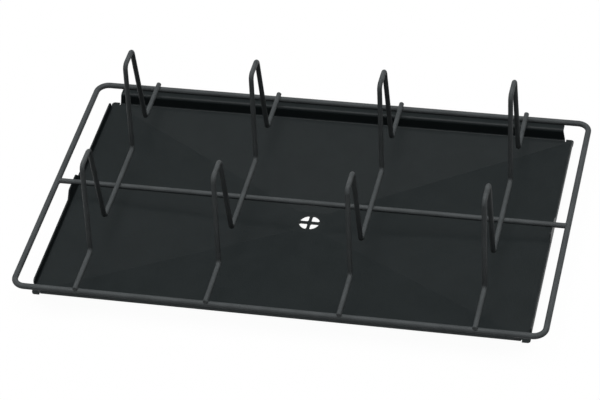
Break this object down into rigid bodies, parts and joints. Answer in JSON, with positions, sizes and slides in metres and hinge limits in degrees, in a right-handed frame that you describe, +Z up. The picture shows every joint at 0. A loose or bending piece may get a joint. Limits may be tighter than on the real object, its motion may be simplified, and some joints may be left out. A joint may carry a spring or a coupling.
{
  "type": "oven rack",
  "caption": "Welded wire poultry rack for an oven: tapered upright spikes on a rectangular frame, over a folded drip tray whose floor falls to a central drain.",
  "frame": {"origin": "centred under the rack, on the level underside of the drain", "axes": "+Z up, +X along the rack towards its right rail, +Y from the front rail to the back rail"},
  "size_m": [0.53, 0.325, 0.133],
  "materials": {
    "coated_wire": "dark grey non-stick coating, satin, on round steel wire",
    "enamelled_sheet": "near-black enamel, smooth and slightly glossy, on folded steel sheet"
  },
  "bodies": {
    "root": {"outer_frame": "coated_wire", "centre_rod": "coated_wire", "spike_wire_1": "coated_wire", "spike_wire_2": "coated_wire", "spike_wire_3": "coated_wire", "spike_wire_4": "coated_wire", "drip_tray": "enamelled_sheet"}
  },
  "joints": []
}
